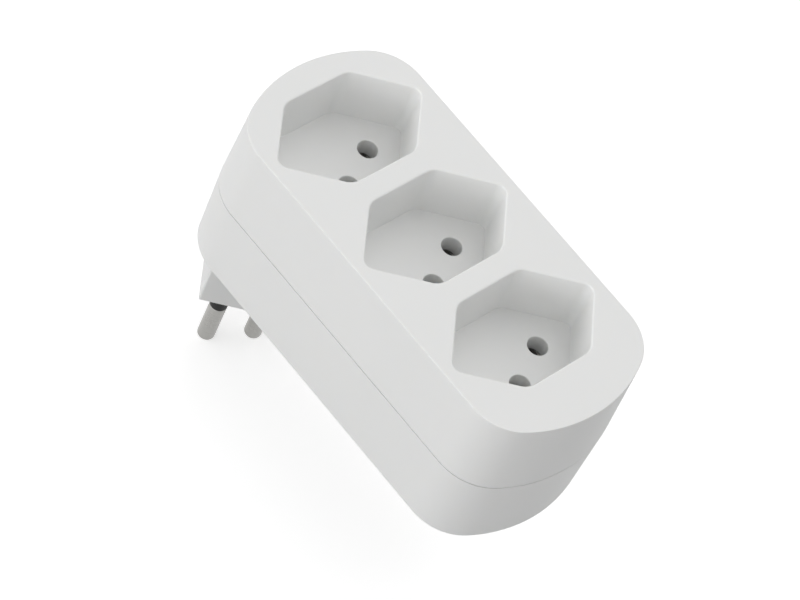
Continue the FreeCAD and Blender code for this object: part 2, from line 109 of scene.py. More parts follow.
# The studio: how far the floor reaches, and the softboxes' offsets from the middle of the part and their
# widths and heights, all in metres
FLOOR_REACH = 3.0
SOFTBOXES = {
    "left": ((-0.8, -0.3, 0.35), (1.2, 0.6)),
    "front": ((-0.2, -0.85, 0.3), (1.8, 0.6)),
    "top": ((0.0, 0.0, 0.9), (0.8, 0.8)),
    "back": ((-0.1, 0.55, 0.7), (1.2, 0.8)),
    "right": ((0.8, 0.0, 0.5), (1.0, 0.6)),
    "low": ((0.25, -0.85, 0.12), (1.0, 0.3)),
}


def colour(text):
    """An sRGB colour written as hex, as the linear red, green and blue that Blender takes."""
    parts = [int(text[start:start + 2], 16) / 255 for start in (1, 3, 5)]
    return tuple(part / 12.92 if part <= 0.04045 else ((part + 0.055) / 1.055) ** 2.4 for part in parts)


def length(name, description, millimetres):
    return bpy.props.FloatProperty(name=name, description=description, default=millimetres * MM,
                                   min=0.0, unit="LENGTH", precision=5)


def lean(name, description, degrees):
    return bpy.props.FloatProperty(name=name, description=description, default=math.radians(degrees),
                                   min=0.0, subtype="ANGLE", unit="ROTATION")


def paint(name, description, text):
    return bpy.props.FloatVectorProperty(name=name, description=description, default=colour(text),
                                         min=0.0, max=1.0, size=3, subtype="COLOR")


def share(name, description, number, high=1.0):
    return bpy.props.FloatProperty(name=name, description=description, default=number, min=0.0, max=high,
                                   subtype="FACTOR")


def lamp_power(name, description, watts):
    return bpy.props.FloatProperty(name=name, description=description, default=watts, min=0.0, unit="POWER")


class HousingLooks(bpy.types.PropertyGroup):
    end_radius: length("End radius", "Radius of the flat arc at each end of the body", 34.5)
    end_corner: length("End corner", "Radius between an end arc and a long side", 12.3)
    wall: length("Wall", "Thickness of the moulded walls", 2.0)
    draft: lean("Draft", "Lean of the walls that leave the mould", 0.7)
    front_lean: lean("Front lean", "Lean of the front half's outer walls", 2.4)
    rim_round: length("Rim round", "Round between the front face and the walls", 0.15)
    back_round: length("Back round", "Round between the back face and the walls", 0.9)
    seam_gap: length("Seam gap", "Open slit between the two halves", 0.22)
    seam_round: length("Seam round", "Softened edge on both sides of the slit", 0.06)
    recess_width: length("Recess width", "Distance between the two flat walls of a recess", 22.2)
    recess_reach: length("Recess reach", "Distance between the two points of a recess", 39.4)
    recess_point: length("Recess point", "Radius of a recess's corners at its two points", 2.0)
    recess_corner: length("Recess corner", "Radius of a recess's four other corners", 4.2)
    recess_wall: length("Recess wall", "Thickness of the wall round a recess", 1.7)
    lip_round: length("Lip round", "Round between the front face and a recess wall", 0.4)
    floor_round: length("Floor round", "Fillet between a recess wall and its floor", 0.1)
    hole_round: length("Hole round", "Softened edge of a pin hole", 0.2)
    plug_width: length("Plug width", "Distance between the plug block's two flat walls", 19.0)
    plug_reach: length("Plug reach", "Distance between the plug block's two points", 34.9)
    plug_corner: length("Plug corner", "Radius of the plug block's upright corners", 0.6)
    plug_edge: length("Plug edge", "Round between the plug face and the block's walls", 0.6)
    plug_foot: length("Plug foot", "Fillet between the plug block and the back of the body", 0.4)
    plug_side_wall: length("Plug side wall", "Thickness of the plug block's walls", 1.8)
    plug_face_wall: length("Plug face wall", "Thickness of the wall that holds the pins", 7.0)
    pin_seat: length("Pin seat", "Radius of the conical seats in the plug face for the pins", 2.05)
    pin_hole: length("Pin hole", "Radius of the holes that the pins' roots pass through", 1.65)
    screw_hole: length("Screw hole", "Radius of the sunk holes for the screws' heads", 2.7)
    screw_post: length("Screw post", "Radius of the posts that the screws run through", 3.0)
    screw_post_hole: length("Screw post hole", "Radius of the hole through a post", 1.45)
    tone: paint("Plastic", "Colour of the moulded housing", "#F1F1F0")
    tone_low: paint("Plastic, cooler", "Second shade of the housing, seen as faint clouds", "#EDEEED")
    roughness: share("Roughness", "Roughness of the satin plastic", 0.42)


class PinLooks(bpy.types.PropertyGroup):
    tip_height: length("Tip height", "Height of the domed tip of a pin", 1.2)
    root_radius: length("Root radius", "Radius of a pin's root inside the sleeve and the housing", 1.6)
    rivet_radius: length("Rivet radius", "Radius of the rivet that holds a pin to its strip", 1.2)
    pin_edge: length("Pin edge", "Broken edge of a pin's shoulder", 0.08)
    sleeve_edge: length("Sleeve edge", "Softened edge at the sleeve's end", 0.12)
    sleeve_fit: length("Sleeve fit", "Gap between a sleeve and the pin's root", 0.02)
    metal: paint("Pin metal", "Colour of the plated pins", "#A6A5A2")
    sleeve: paint("Sleeve", "Colour of the insulation", "#090909")
    strip: paint("Strip metal", "Colour of the strips", "#C8A25A")
    contact: paint("Contact metal", "Colour of the plated spring contacts", "#D2D1CC")


class ScrewLooks(bpy.types.PropertyGroup):
    head: length("Head", "Radius of a screw's head", 2.4)
    head_height: length("Head height", "Height of a screw's head", 1.7)
    shank: length("Shank", "Radius of a screw's shank", 1.25)
    tip: length("Tip", "Radius of the blunt end of a screw", 0.3)
    tip_height: length("Tip height", "Height of the cone at the end of a screw", 1.0)
    slot_width: length("Slot width", "Width of the slot in a screw's head", 0.8)
    slot_depth: length("Slot depth", "Depth of the slot in a screw's head", 0.8)
    rim_round: length("Head round", "Round at the rim of a screw's head", 0.3)
    sunk: length("Sunk", "How far a screw's head lies below the back", 0.3)
    metal: paint("Screw metal", "Colour of the screws", "#B4B8BB")


class StageLooks(bpy.types.PropertyGroup):
    floor: paint("Floor", "Colour of the studio floor", "#F0F0F0")
    floor_dim: paint("Floor, to the object", "Darker floor that sends less light up", "#646464")
    floor_glow: share("Floor glow", "Light that the camera sees added to the floor", 0.5, 2.0)
    ambient: share("Ambient", "Level of the even studio light", 0.36, 2.0)
    left_power: lamp_power("Left lamp", "Softbox on the left, at the plug's end", 1.0)
    front_power: lamp_power("Front lamp", "Softbox in front of the long side", 4.8)
    top_power: lamp_power("Top lamp", "Softbox overhead", 0.95)
    back_power: lamp_power("Back lamp", "Softbox above and behind", 2.55)
    right_power: lamp_power("Right lamp", "Softbox on the right, at the free end", 0.3)
    low_power: lamp_power("Low lamp", "Softbox low in front, for the plug block", 1.4)


# Meshes: outlines are lists of (point, outward direction), and rings are outlines at an inset and a height


def arc(centre, radius, start, end, steps):
    """Outline points along an arc, without its last one."""
    made = []
    for step in range(steps):
        angle = start + (end - start) * step / steps
        outward = Vector((math.cos(angle), math.sin(angle)))
        made.append((Vector(centre) + radius * outward, outward))
    return made


def straight(start, end, outward, steps):
    start, end = Vector(start), Vector(end)
    return [(start.lerp(end, step / steps), Vector(outward)) for step in range(steps)]


def body_outline(looks):
    """The body at the parting plane: long straight sides, a flat arc at each end, rounder corners."""
    half = FRONT_HIGH.y
    radius, corner = looks.end_radius, looks.end_corner
    along = math.sqrt((radius - corner) ** 2 - (half - corner) ** 2)
    spread = math.atan2(half - corner, along)
    left, right = FRONT_LOW.x + radius, FRONT_HIGH.x - radius
    quarter = math.pi / 2
    return [
        *straight((left - along, -half), (right + along, -half), (0, -1), SIDE_STEPS),
        *arc((right + along, corner - half), corner, -quarter, -spread, BODY_CORNER_STEPS),
        *arc((right, 0), radius, -spread, spread, END_ARC_STEPS),
        *arc((right + along, half - corner), corner, spread, quarter, BODY_CORNER_STEPS),
        *straight((right + along, half), (left - along, half), (0, 1), SIDE_STEPS),
        *arc((left - along, half - corner), corner, quarter, 2 * quarter - spread, BODY_CORNER_STEPS),
        *arc((left, 0), radius, 2 * quarter - spread, 2 * quarter + spread, END_ARC_STEPS),
        *arc((left - along, corner - half), corner, 2 * quarter + spread, 3 * quarter, BODY_CORNER_STEPS),
    ]


def hexagon_outline(centre, width, reach, point_corner, side_corner):
    """Six rounded corners: two flat sides across X, and 45 degree ones that meet at two points."""
    flat = (reach - width) / 2
    corners = [Vector(centre) + Vector(point) for point in (
        (0, -reach / 2), (width / 2, -flat), (width / 2, flat),
        (0, reach / 2), (-width / 2, flat), (-width / 2, -flat))]
    facing = []
    for here, following in zip(corners, corners[1:] + corners[:1]):
        edge = (following - here).normalized()
        facing.append(Vector((edge.y, -edge.x)))
    made = []
    for number, point in enumerate(corners):
        corner = point_corner if number in (0, 3) else side_corner
        before, after = facing[number - 1], facing[number]
        bisector = (before + after).normalized()
        middle = point - bisector * (corner / bisector.dot(after))
        start = math.atan2(before.y, before.x)
        turn = before.angle(after)
        for step in range(CORNER_STEPS + 1):
            angle = start + turn * step / CORNER_STEPS
            outward = Vector((math.cos(angle), math.sin(angle)))
            made.append((middle + corner * outward, outward))
    return made


def circle_outline(centre, radius):
    return arc(centre, radius, 0.0, math.tau, CIRCLE_STEPS)


def bend(start, end, upright_first, steps=EDGE_STEPS):
    """Profile points of a quarter round between two (inset, height) points, without its first one."""
    (inset, height), (last_inset, last_height) = start, end
    made = []
    for step in range(1, steps + 1):
        angle = math.pi / 2 * step / steps
        soft, hard = 1 - math.cos(angle), math.sin(angle)
        across, up = (soft, hard) if upright_first else (hard, soft)
        made.append((inset + (last_inset - inset) * across, height + (last_height - height) * up))
    return made


def sweep(mesh, outline, profile):
    """Carries an outline along a profile of (inset, height) points. Returns the first and last ring."""
    rings = []
    for inset, height in profile:
        ring = []
        for point, outward in outline:
            spot = point - inset * outward
            ring.append(mesh.verts.new((spot.x, spot.y, height)))
        rings.append(ring)
    for ring, following in zip(rings, rings[1:]):
        for number in range(len(ring)):
            after = (number + 1) % len(ring)
            mesh.faces.new((ring[number], ring[after], following[after], following[number]))
    return rings[0], rings[-1]


def fill(mesh, *rings):
    """A flat face between an outer ring and the rings inside it."""
    edges = []
    for ring in rings:
        for number, corner in enumerate(ring):
            after = ring[(number + 1) % len(ring)]
            edges.append(mesh.edges.get((corner, after)) or mesh.edges.new((corner, after)))
    made = bmesh.ops.triangle_fill(mesh, use_beauty=True, use_dissolve=False, edges=edges)
    if not any(isinstance(part, bmesh.types.BMFace) for part in made["geom"]):
        raise RuntimeError("a flat face could not be filled")


def turn_profile(mesh, centre, profile):
    """A closed turned form: profile points are (radius, height), the first and last at radius 0."""
    poles = [mesh.verts.new((*centre, profile[0][1])), mesh.verts.new((*centre, profile[-1][1]))]
    inner = [(-radius, height) for radius, height in profile[1:-1]]
    first, last = sweep(mesh, circle_outline(centre, 0.0), inner)
    for pole, ring in zip(poles, (first, last)):
        for number in range(len(ring)):
            mesh.faces.new((pole, ring[number], ring[(number + 1) % len(ring)]))


def finish_piece(mesh, name, material, nodes):
    """Turns a bmesh into a smooth piece that stands for CAD nodes and rides on the body."""
    bmesh.ops.remove_doubles(mesh, verts=mesh.verts, dist=MERGE_DISTANCE)
    bmesh.ops.recalc_face_normals(mesh, faces=mesh.faces)
    if not mesh.faces:
        raise RuntimeError(f"{name} has no faces")
    data = bpy.data.meshes.new(name)
    mesh.to_mesh(data)
    mesh.free()
    data.polygons.foreach_set("use_smooth", [True] * len(data.polygons))
    data.materials.append(material)
    piece = bpy.data.objects.new(name, data)
    bpy.context.scene.collection.objects.link(piece)
    shading = piece.modifiers.new("even_shading", "WEIGHTED_NORMAL")
    shading.mode = "FACE_AREA"
    shading.weight = 100
    shading.keep_sharp = True
    mark_sharp_edges(data)
    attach(piece, BODY)
    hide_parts(*nodes)
    return piece


def mark_sharp_edges(data):
    """Marks every edge whose faces meet at more than the sharp angle."""
    mesh = bmesh.new()
    mesh.from_mesh(data)
    for edge in mesh.edges:
        edge.smooth = len(edge.link_faces) == 2 and edge.calc_face_angle(math.pi) < SHARP_ANGLE
    mesh.to_mesh(data)
    mesh.free()


# Materials


def add_node(tree, kind, settings=None, links=None):
    """Adds a node, sets its values and joins its inputs to other nodes' outputs."""
    node = tree.nodes.new(kind)
    for name, value in (settings or {}).items():
        if name in node.inputs:
            node.inputs[name].default_value = value
        else:
            setattr(node, name, value)
    for name, source in (links or {}).items():
        tree.links.new(source, node.inputs[name])
    return node


def start_material(name, shader_values):
    """A material with one Principled shader and the object's own coordinates."""
    material = bpy.data.materials.get(name)
    if material:
        return material, None, None, None
    material = bpy.data.materials.new(name)
    material.use_nodes = True
    tree = material.node_tree
    tree.nodes.clear()
    shader = add_node(tree, "ShaderNodeBsdfPrincipled", shader_values)
    add_node(tree, "ShaderNodeOutputMaterial", None, {"Surface": shader.outputs["BSDF"]})
    place = add_node(tree, "ShaderNodeTexCoord")
    return material, tree, shader, place.outputs["Object"]


def repeats(millimetres):
    """Texture scale for a pattern whose features are this large, in an object measured in metres."""
    return 1.0 / (millimetres * MM)


def moulded_abs(looks):
    """ABS moulded against spark eroded steel: satin, slightly deep looking white, with a fine grain."""
    material, tree, shader, place = start_material("moulded_abs_white", {
        "IOR": 1.54, "Subsurface Weight": 0.25, "Subsurface Radius": (1.0, 0.95, 0.85),
        "Subsurface Scale": 0.8 * MM})
    if tree is None:
        return material
    # Pigment that flowed unevenly: clouds 30 mm wide that the eye only just notices
    clouds = add_node(tree, "ShaderNodeTexNoise", {"Scale": repeats(30), "Detail": 2.0}, {"Vector": place})
    tones = add_node(tree, "ShaderNodeMix", {"data_type": "RGBA"}, {"Factor": clouds.outputs["Fac"]})
    tones.inputs["A"].default_value = (*looks.tone, 1)
    tones.inputs["B"].default_value = (*looks.tone_low, 1)
    tree.links.new(tones.outputs["Result"], shader.inputs["Base Color"])
    # The mould's polish differs a little from place to place, 8 mm patches of gloss
    polish = add_node(tree, "ShaderNodeTexNoise", {"Scale": repeats(8), "Detail": 3.0}, {"Vector": place})
    gloss = add_node(tree, "ShaderNodeMapRange", {"To Min": looks.roughness - 0.04,
                                                  "To Max": looks.roughness + 0.04},
                     {"Value": polish.outputs["Fac"]})
    tree.links.new(gloss.outputs["Result"], shader.inputs["Roughness"])
    # Spark eroded grain is under 0.1 mm wide; it is drawn 0.3 mm wide so that a render can hold it
    grain = add_node(tree, "ShaderNodeTexNoise", {"Scale": repeats(0.3), "Detail": 2.0}, {"Vector": place})
    relief = add_node(tree, "ShaderNodeBump", {"Strength": 0.5, "Distance": 0.006 * MM},
                      {"Height": grain.outputs["Fac"]})
    # Sink marks: walls that shrank 0.02 mm over the ribs behind them, about 12 mm apart
    sink = add_node(tree, "ShaderNodeTexNoise", {"Scale": repeats(12), "Detail": 1.0}, {"Vector": place})
    hollow = add_node(tree, "ShaderNodeBump", {"Strength": 0.6, "Distance": 0.02 * MM},
                      {"Height": sink.outputs["Fac"], "Normal": relief.outputs["Normal"]})
    tree.links.new(hollow.outputs["Normal"], shader.inputs["Normal"])
    return material


def moulded_nylon(looks):
    """Black nylon moulded round the pin: a matt surface whose fine grain traps half of its shine."""
    material, tree, shader, place = start_material("moulded_nylon_black", {
        "IOR": 1.53, "Roughness": 0.5, "Specular IOR Level": 0.25})
    if tree is None:
        return material
    speckle = add_node(tree, "ShaderNodeTexNoise", {"Scale": repeats(0.25), "Detail": 3.0},
                       {"Vector": place})
    tones = add_node(tree, "ShaderNodeMix", {"data_type": "RGBA"}, {"Factor": speckle.outputs["Fac"]})
    tones.inputs["A"].default_value = (*looks.sleeve, 1)
    tones.inputs["B"].default_value = (*(1.4 * part for part in looks.sleeve), 1)
    tree.links.new(tones.outputs["Result"], shader.inputs["Base Color"])
    relief = add_node(tree, "ShaderNodeBump", {"Strength": 0.5, "Distance": 0.008 * MM},
                      {"Height": speckle.outputs["Fac"]})
    tree.links.new(relief.outputs["Normal"], shader.inputs["Normal"])
    return material


def streaked_metal(name, tone, stretch, streak_mm, roughness, depth_mm, contrast=0.88):
    """A metal worked in one direction: long thin streaks of darker tone, gloss and relief along it."""
    material, tree, shader, place = start_material(name, {"Metallic": 1.0})
    if tree is None:
        return material
    stretched = add_node(tree, "ShaderNodeMapping", {"Scale": stretch}, {"Vector": place})
    streaks = add_node(tree, "ShaderNodeTexNoise", {"Scale": repeats(streak_mm), "Detail": 4.0},
                       {"Vector": stretched.outputs["Vector"]})
    tones = add_node(tree, "ShaderNodeMix", {"data_type": "RGBA"}, {"Factor": streaks.outputs["Fac"]})
    tones.inputs["A"].default_value = (*(contrast * part for part in tone), 1)
    tones.inputs["B"].default_value = (*tone, 1)
    tree.links.new(tones.outputs["Result"], shader.inputs["Base Color"])
    gloss = add_node(tree, "ShaderNodeMapRange", {"To Min": roughness - 0.06, "To Max": roughness + 0.08},
                     {"Value": streaks.outputs["Fac"]})
    tree.links.new(gloss.outputs["Result"], shader.inputs["Roughness"])
    relief = add_node(tree, "ShaderNodeBump", {"Strength": 0.5, "Distance": depth_mm * MM},
                      {"Height": streaks.outputs["Fac"]})
    tree.links.new(relief.outputs["Normal"], shader.inputs["Normal"])
    return material


def plated_pin_metal(looks):
    """Brass turned on a lathe and nickel plated: fine rings round the pin blur what it mirrors."""
    return streaked_metal("nickel_plated_brass", looks.metal, (0.04, 0.04, 1.0), 0.3, 0.28, 0.001, 0.95)


def rolled_brass(looks):
    """Brass sheet as it leaves the rolls: warm, with long streaks along the strip."""
    return streaked_metal("rolled_brass", looks.strip, (0.03, 1.0, 1.0), 0.3, 0.32, 0.003)


def tinned_bronze(looks):
    """Bronze spring sheet, rolled and tin plated: dull pale grey, streaked up the folded tube."""
    return streaked_metal("tin_plated_bronze", looks.contact, (1.0, 1.0, 0.03), 0.25, 0.5, 0.003)


def zinc_plated_steel(looks):
    """Steel screws, zinc plated: bluish grey, with the turned rings of the head still faintly there."""
    return streaked_metal("zinc_plated_steel", looks.metal, (1.0, 1.0, 0.1), 0.35, 0.36, 0.004)


# Pieces


def hole_places(recess):
    return [Vector(MOUNTS[f"{recess}_{pole}_hole"]["pos_m"]) for pole in POLES]


def recess_centre(recess):
    low, high = OPENINGS[f"{recess}_recess_wide"]
    return ((low[0] + high[0]) / 2, (low[1] + high[1]) / 2)


def screw_places(screws):
    """The screws' axes: the two at the sides and the one at the free end, from the box of all three."""
    side, end = SCREWS_LOW.x + screws.head, SCREWS_HIGH.x - screws.head
    return [(side, SCREWS_HIGH.y - screws.head), (side, SCREWS_LOW.y + screws.head), (end, 0.0)]


def add_recess(mesh, looks, recess):
    """One six sided well: rounded lip, drafted walls, filleted floor and three pin holes."""
    top = FRONT_HIGH.z
    floor = OPENINGS[f"{recess}_recess_wide"][0][2] - OPENING_GAP
    hole = MOUNTS[f"{recess}_line_hole"]["dims"]
    below = floor - hole["length_mm"] * MM
    slope = math.tan(looks.draft)
    lip, fillet = looks.lip_round, looks.floor_round
    outline = hexagon_outline(recess_centre(recess), looks.recess_width, looks.recess_reach,
                              looks.recess_point, looks.recess_corner)
    foot = slope * (top - floor)
    mouth, floor_ring = sweep(mesh, outline, [
        (-lip, top), *bend((-lip, top), (0.0, top - lip), False),
        (foot, floor + fillet), *bend((foot, floor + fillet), (foot + fillet, floor), True)])
    under_ring, outer_ring = sweep(mesh, outline, [(-looks.recess_wall, below),
                                                   (-looks.recess_wall, top - looks.wall)])
    rims, ends = [], []
    soft = looks.hole_round
    for spot in hole_places(recess):
        rim, end = sweep(mesh, circle_outline(spot.xy, hole["r_mm"] * MM), [
            (-soft, floor), *bend((-soft, floor), (0.0, floor - soft), False), (0.0, below)])
        rims.append(rim)
        ends.append(end)
    fill(mesh, floor_ring, *rims)
    fill(mesh, under_ring, *ends)
    return mouth, outer_ring


class ADAPTER_OT_front_housing(bpy.types.Operator):
    """Builds the front half of the body with its three recesses"""
    bl_idname = "adapter.front_housing"
    bl_label = "Front housing"

    def execute(self, context):
        looks = context.scene.adapter_housing
        low, high = FRONT_LOW.z + looks.seam_gap / 2, FRONT_HIGH.z
        soft, rim = looks.seam_round, looks.rim_round
        shift = math.tan(looks.front_lean) * (high - rim - low)
        mesh = bmesh.new()
        inner, outer = sweep(mesh, body_outline(looks), [
            (looks.wall, high - looks.wall), (looks.wall, low), (soft, low),
            *bend((soft, low), (0.0, low + soft), False),
            (shift, high - rim), *bend((shift, high - rim), (shift + rim, high), True)])
        recesses = [add_recess(mesh, looks, recess) for recess in RECESSES]
        fill(mesh, outer, *(mouth for mouth, _ in recesses))
        fill(mesh, inner, *(ring for _, ring in recesses))
        finish_piece(mesh, "front_housing", moulded_abs(looks), ["front_shell"])
        return {"FINISHED"}


class ADAPTER_OT_rear_housing(bpy.types.Operator):
    """Builds the rear half of the body with the plug block and the sunk screw holes"""
    bl_idname = "adapter.rear_housing"
    bl_label = "Rear housing"

    def execute(self, context):
        looks, screws = context.scene.adapter_housing, context.scene.adapter_screws
        slope = math.tan(looks.draft)
        high = REAR_HIGH.z - looks.seam_gap / 2
        back = SCREWS_LOW.z - screws.sunk
        inside = back + looks.wall
        soft, edge = looks.seam_round, looks.back_round
        shift = slope * (high - back - edge)
        mesh = bmesh.new()
        inner, outer = sweep(mesh, body_outline(looks), [
            (looks.wall, inside), (looks.wall, high), (soft, high),
            *bend((soft, high), (0.0, high - soft), False),
            (shift, back + edge), *bend((shift, back + edge), (shift + edge, back), True)])
        # The plug block lies round its pins as a recess lies round its holes
        middle = (recess_centre("first")[0] - MOUNTS["first_line_hole"]["pos_m"][0], 0.0)
        block = hexagon_outline(middle, looks.plug_width, looks.plug_reach, looks.plug_corner,
                                looks.plug_corner)
        foot = looks.plug_foot
        slim = slope * back
        base, face = sweep(mesh, block, [
            (-foot, back), *bend((-foot, back), (0.0, back - foot), False),
            (slim, PLUG_FACE + looks.plug_edge),
            *bend((slim, PLUG_FACE + looks.plug_edge), (slim + looks.plug_edge, PLUG_FACE), True)])
        hollow_low, hollow_high = sweep(mesh, block, [(looks.plug_side_wall + slim, looks.plug_face_wall),
                                                      (looks.plug_side_wall, inside)])
        mouths, ends = [], []
        for pole in POLES:
            cone = looks.pin_seat - looks.pin_hole
            mouth, end = sweep(mesh, circle_outline(MOUNTS[f"{pole}_pin"]["pos_m"][:2], looks.pin_seat), [
                (0.0, PLUG_FACE), (cone, PLUG_FACE + cone), (cone, looks.plug_face_wall)])
            mouths.append(mouth)
            ends.append(end)
        sunk, posts = [], []
        rim, shank = looks.hole_round, looks.screw_hole - looks.screw_post_hole
        outside = looks.screw_hole - looks.screw_post
        for place in screw_places(screws):
            recess, post = sweep(mesh, circle_outline(place, looks.screw_hole), [
                (-rim, back), *bend((-rim, back), (0.0, back + rim), False),
                (0.0, inside), (shank, inside), (shank, high), (outside, high), (outside, inside)])
            sunk.append(recess)
            posts.append(post)
        fill(mesh, outer, base, *sunk)
        fill(mesh, face, *mouths)
        fill(mesh, hollow_low, *ends)
        fill(mesh, inner, hollow_high, *posts)
        finish_piece(mesh, "rear_housing", moulded_abs(looks), ["rear_shell"])
        return {"FINISHED"}


class ADAPTER_OT_pins(bpy.types.Operator):
    """Builds the three plug pins with domed tips"""
    bl_idname = "adapter.pins"
    bl_label = "Plug pins"

    def execute(self, context):
        looks = context.scene.adapter_pins
        for pole in POLES:
            pin = MOUNTS[f"{pole}_pin"]
            low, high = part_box(f"{pole}_pin")
            radius, tip, edge = pin["dims"]["r_mm"] * MM, looks.tip_height, looks.pin_edge
            if pole == "earth":
                cone = radius - looks.root_radius
                shoulder = [(radius, PLUG_FACE), (looks.root_radius, PLUG_FACE + cone)]
            else:
                shoulder = [(radius, SLEEVE_LOW.z - edge), (radius - edge, SLEEVE_LOW.z),
                            (looks.root_radius, SLEEVE_LOW.z)]
            dome = []
            for number in range(1, DOME_STEPS + 1):
                angle = number * math.pi / 2 / DOME_STEPS
                dome.append((radius * math.sin(angle), low.z + tip * (1 - math.cos(angle))))
            mesh = bmesh.new()
            turn_profile(mesh, pin["pos_m"][:2], [
                (0.0, low.z), *dome, *shoulder, (looks.root_radius, STRIP_LOW.z),
                (looks.rivet_radius, STRIP_LOW.z), (looks.rivet_radius, high.z), (0.0, high.z)])
            finish_piece(mesh, f"{pole}_plug_pin", plated_pin_metal(looks), [f"{pole}_pin"])
        return {"FINISHED"}


class ADAPTER_OT_sleeves(bpy.types.Operator):
    """Builds the insulating sleeves of the two live pins"""
    bl_idname = "adapter.sleeves"
    bl_label = "Pin sleeves"

    def execute(self, context):
        looks = context.scene.adapter_pins
        for pole in POLES[:2]:
            pin = MOUNTS[f"{pole}_pin"]
            low, high, taper = SLEEVE_LOW.z, SLEEVE_HIGH.z, SLEEVE_HIGH.z - PLUG_FACE
            radius, soft = pin["dims"]["r_mm"] * MM, looks.sleeve_edge
            bore = radius - looks.root_radius - looks.sleeve_fit
            mesh = bmesh.new()
            first, last = sweep(mesh, circle_outline(pin["pos_m"][:2], radius), [
                (bore, low), (soft, low), *bend((soft, low), (0.0, low + soft), False),
                (0.0, PLUG_FACE), (taper, high), (bore, high)])
            for number in range(len(first)):
                after = (number + 1) % len(first)
                mesh.faces.new((first[number], first[after], last[after], last[number]))
            finish_piece(mesh, f"{pole}_sleeve", moulded_nylon(looks),
                         [f"{pole}_pin_sleeve"])
        return {"FINISHED"}


class ADAPTER_OT_metal_inside(bpy.types.Operator):
    """Gives the strips and the spring contacts inside their metals"""
    bl_idname = "adapter.metal_inside"
    bl_label = "Strips and contacts"

    def execute(self, context):
        looks = context.scene.adapter_pins
        for name, node in frame["nodes"].items():
            if "_strip" in name:
                metal = rolled_brass(looks)
            elif "_contact_" in name:
                metal = tinned_bronze(looks)
            else:
                continue
            node.data.materials.clear()
            node.data.materials.append(metal)
        return {"FINISHED"}


class ADAPTER_OT_screws(bpy.types.Operator):
    """Builds the three slotted screws that hold the halves together"""
    bl_idname = "adapter.screws"
    bl_label = "Housing screws"

    def execute(self, context):
        looks = context.scene.adapter_screws
        low, high = SCREWS_LOW.z, SCREWS_HIGH.z
        slot_floor, seat = low + looks.slot_depth, low + looks.head_height
        mesh = bmesh.new()
        for place in screw_places(looks):
            turn_profile(mesh, place, [
                (0.0, slot_floor), (looks.head, slot_floor), (looks.head, seat), (looks.shank, seat),
                (looks.shank, high - looks.tip_height), (looks.tip, high), (0.0, high)])
            for side in (1, -1):
                add_head_half(mesh, looks, place, side)
        finish_piece(mesh, "housing_screw_set", zinc_plated_steel(looks), ["housing_screws"])
        return {"FINISHED"}


def add_head_half(mesh, looks, centre, side):
    """Half of a screw head beside its slot, with a softened rim."""
    low, half_slot = SCREWS_LOW.z, looks.slot_width / 2
    start = math.asin(half_slot / looks.head)
    directions = []
    for step in range(HEAD_STEPS + 1):
        angle = start + (math.pi - 2 * start) * step / HEAD_STEPS
        directions.append((math.cos(angle), math.sin(angle)))
    levels = [(0.0, low + looks.slot_depth), (0.0, low + looks.rim_round),
              *bend((0.0, low + looks.rim_round), (looks.rim_round, low), True)]
    rings = []
    for inset, height in levels:
        reach = looks.head - inset
        rings.append([mesh.verts.new((centre[0] + along * reach,
                                      centre[1] + max(across * reach, half_slot) * side, height))
                      for along, across in directions])
    for ring, following in zip(rings, rings[1:]):
        for number in range(len(ring) - 1):
            mesh.faces.new((ring[number], ring[number + 1], following[number + 1], following[number]))
    mesh.faces.new(rings[-1])
    mesh.faces.new([ring[0] for ring in rings] + [ring[-1] for ring in reversed(rings)])


class ADAPTER_OT_stage(bpy.types.Operator):
    """Sets up the pale floor, the soft lamps and the camera"""
    bl_idname = "adapter.stage"
    bl_label = "Studio"

    def execute(self, context):
        looks = context.scene.adapter_stage
        add_floor(looks)
        add_world(looks)
        centre = (CAD_LOW + CAD_HIGH) / 2
        for side, (offset, size) in SOFTBOXES.items():
            add_softbox(f"{side}_softbox", centre, offset, size, getattr(looks, f"{side}_power"))
        add_camera()
        context.scene.view_settings.view_transform = "Standard"
        return {"FINISHED"}


def seen_directly(tree):
    """1 for rays from the camera, in a mirror or through glass, and 0 for light on the object."""
    path = add_node(tree, "ShaderNodeLightPath")
    mirrored = add_node(tree, "ShaderNodeMath", {"operation": "MAXIMUM"})
    tree.links.new(path.outputs["Is Camera Ray"], mirrored.inputs[0])
    tree.links.new(path.outputs["Is Glossy Ray"], mirrored.inputs[1])
    through = add_node(tree, "ShaderNodeMath", {"operation": "MAXIMUM"})
    tree.links.new(mirrored.outputs[0], through.inputs[0])
    tree.links.new(path.outputs["Is Transmission Ray"], through.inputs[1])
    return through.outputs[0]


